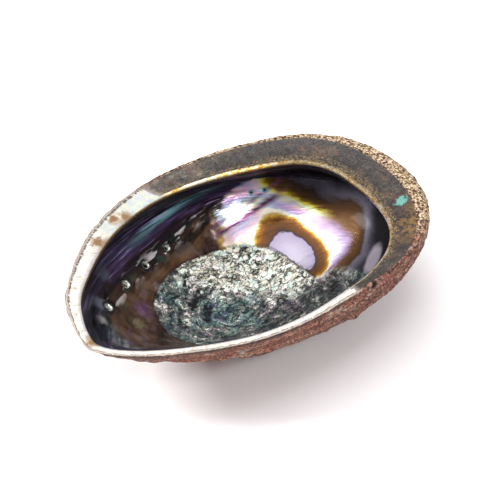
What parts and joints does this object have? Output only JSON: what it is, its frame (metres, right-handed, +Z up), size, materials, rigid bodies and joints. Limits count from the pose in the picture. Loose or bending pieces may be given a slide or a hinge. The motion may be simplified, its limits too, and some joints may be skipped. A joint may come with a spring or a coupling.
{
  "type": "abalone shell",
  "caption": "Empty abalone shell lying on its back: a deep oval bowl with a pearly inside, a flat inner lip, a row of small pores and a rough, red-brown back.",
  "frame": {"origin": "on the surface the shell lies on, under the middle of its length and width", "axes": "+Z up out of the opening; +X along the length to the spire end, with the pore notch at -X; +Y across to the broad inner lip, with the thin outer lip at -Y"},
  "size_m": [0.1582, 0.1062, 0.0454],
  "materials": {
    "shell": "calcium carbonate shell: polished iridescent nacre inside, rough brick-red crust outside, cream at the cut edge of the outer lip"
  },
  "bodies": {
    "root": {"abalone_shell": "shell"}
  },
  "joints": []
}
